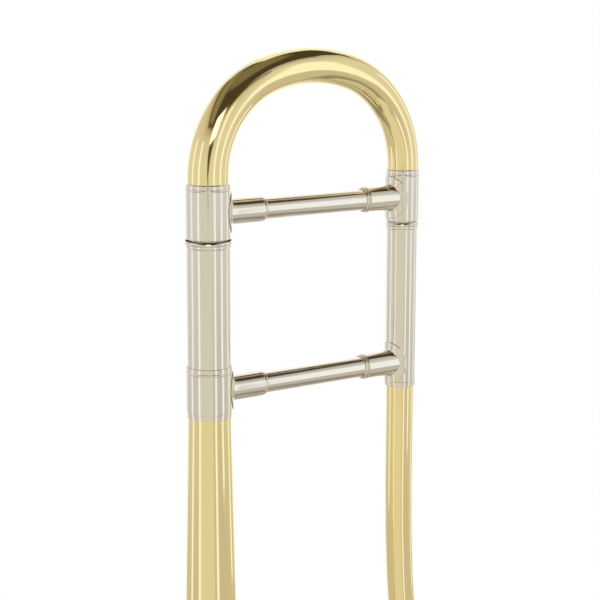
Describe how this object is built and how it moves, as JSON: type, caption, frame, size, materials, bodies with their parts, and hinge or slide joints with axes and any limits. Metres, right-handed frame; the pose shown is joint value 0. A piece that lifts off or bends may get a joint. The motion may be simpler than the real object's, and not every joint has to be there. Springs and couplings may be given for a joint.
{
  "type": "valve trombone",
  "caption": "Tenor trombone with piston valves, flared bell, tapered tuning bow with braced slide legs, front bow and cup mouthpiece.",
  "frame": {"origin": "centre of the bell's rim plane, where a trombone stand's cone holds the bell", "axes": "+Z along the bell's axis from the rim to the tuning bow, +X from the bell to the neck side, +Y towards the leadpipe side"},
  "size_m": [0.2844, 0.2072, 1.0799],
  "materials": {
    "yellow_brass": "polished and clear lacquered",
    "nickel_silver": "polished nickel silver",
    "silver_plate": "polished silver plate",
    "spring_steel": "bright drawn wire"
  },
  "bodies": {
    "body_section": {"bell_flare": "yellow_brass", "bell_stem": "yellow_brass", "lower_ferrule_bell": "nickel_silver", "outer_slide_tube_bell": "nickel_silver", "outer_slide_tube_neck": "nickel_silver", "lower_brace_socket_bell": "nickel_silver", "lower_brace_socket_neck": "nickel_silver", "lower_brace_tube": "nickel_silver", "neck_pipe": "yellow_brass", "neck_knuckle": "nickel_silver", "return_knuckle": "nickel_silver", "knuckle_1_2": "nickel_silver", "knuckle_2_3": "nickel_silver", "bell_brace": "nickel_silver", "front_brace": "nickel_silver", "leadpipe_stay_upper": "nickel_silver", "leadpipe_stay_lower": "nickel_silver", "front_stay": "nickel_silver", "valve_casing_1": "yellow_brass", "valve_casing_2": "yellow_brass", "valve_casing_3": "yellow_brass", "top_cap_1": "nickel_silver", "top_cap_2": "nickel_silver", "top_cap_3": "nickel_silver", "bottom_cap_1": "nickel_silver", "bottom_cap_2": "nickel_silver", "bottom_cap_3": "nickel_silver", "piston_spring_1": "spring_steel", "piston_spring_2": "spring_steel", "piston_spring_3": "spring_steel", "first_slide_outer_tubes": "nickel_silver", "second_slide_outer_tubes": "nickel_silver", "third_slide_outer_tubes": "nickel_silver", "front_bow": "yellow_brass", "front_ferrule_return": "nickel_silver", "front_ferrule_lead": "nickel_silver", "return_pipe": "yellow_brass", "leadpipe": "yellow_brass", "mouthpiece_receiver": "nickel_silver", "water_key_saddle": "nickel_silver", "water_key_nipple": "nickel_silver"},
    "tuning_slide": {"tuning_bow": "yellow_brass", "upper_ferrule_bell": "nickel_silver", "upper_ferrule_neck": "nickel_silver", "inner_slide_tube_bell": "nickel_silver", "inner_slide_tube_neck": "nickel_silver", "upper_brace_socket_bell": "nickel_silver", "upper_brace_socket_neck": "nickel_silver", "upper_brace_tube": "nickel_silver"},
    "first_valve": {"piston_1": "nickel_silver", "finger_button_1": "silver_plate"},
    "second_valve": {"piston_2": "nickel_silver", "finger_button_2": "silver_plate"},
    "third_valve": {"piston_3": "nickel_silver", "finger_button_3": "silver_plate"},
    "first_slide": {"first_slide_crook": "yellow_brass"},
    "second_slide": {"second_slide_crook": "yellow_brass"},
    "third_slide": {"third_slide_crook": "yellow_brass"},
    "water_key": {"water_key_lever": "nickel_silver"},
    "mouthpiece_body": {"mouthpiece": "silver_plate"}
  },
  "joints": [
    {"name": "tuning_slide_pull", "type": "slide", "parent": "body_section", "child": "tuning_slide", "axis": [0, 0, 1], "range_m": [0, 0.05]},
    {"name": "first_piston_press", "type": "slide", "parent": "body_section", "child": "first_valve", "axis": [1, 0, 0], "range_m": [0, 0.016], "stiffness_N_per_m": 250, "springref_m": -0.012, "deforming": ["piston_spring_1"]},
    {"name": "second_piston_press", "type": "slide", "parent": "body_section", "child": "second_valve", "axis": [1, 0, 0], "range_m": [0, 0.016], "stiffness_N_per_m": 250, "springref_m": -0.012, "deforming": ["piston_spring_2"]},
    {"name": "third_piston_press", "type": "slide", "parent": "body_section", "child": "third_valve", "axis": [1, 0, 0], "range_m": [0, 0.016], "stiffness_N_per_m": 250, "springref_m": -0.012, "deforming": ["piston_spring_3"]},
    {"name": "first_slide_pull", "type": "slide", "parent": "body_section", "child": "first_slide", "axis": [0, 0, 1], "range_m": [0, 0.035]},
    {"name": "second_slide_pull", "type": "slide", "parent": "body_section", "child": "second_slide", "axis": [0, -1, 0], "range_m": [0, 0.018]},
    {"name": "third_slide_pull", "type": "slide", "parent": "body_section", "child": "third_slide", "axis": [0, 0, -1], "range_m": [0, 0.045]},
    {"name": "water_key_press", "type": "hinge", "parent": "body_section", "child": "water_key", "pos_m": [0.16445, 0.06029, -0.316], "axis": [0.8682, -0.4961, 0], "range_deg": [0, 12], "stiffness_Nm_per_rad": 0.05, "springref_deg": -20.05},
    {"name": "mouthpiece_pull", "type": "slide", "parent": "body_section", "child": "mouthpiece_body", "axis": [0, 0, 1], "range_m": [0, 0.03]}
  ]
}
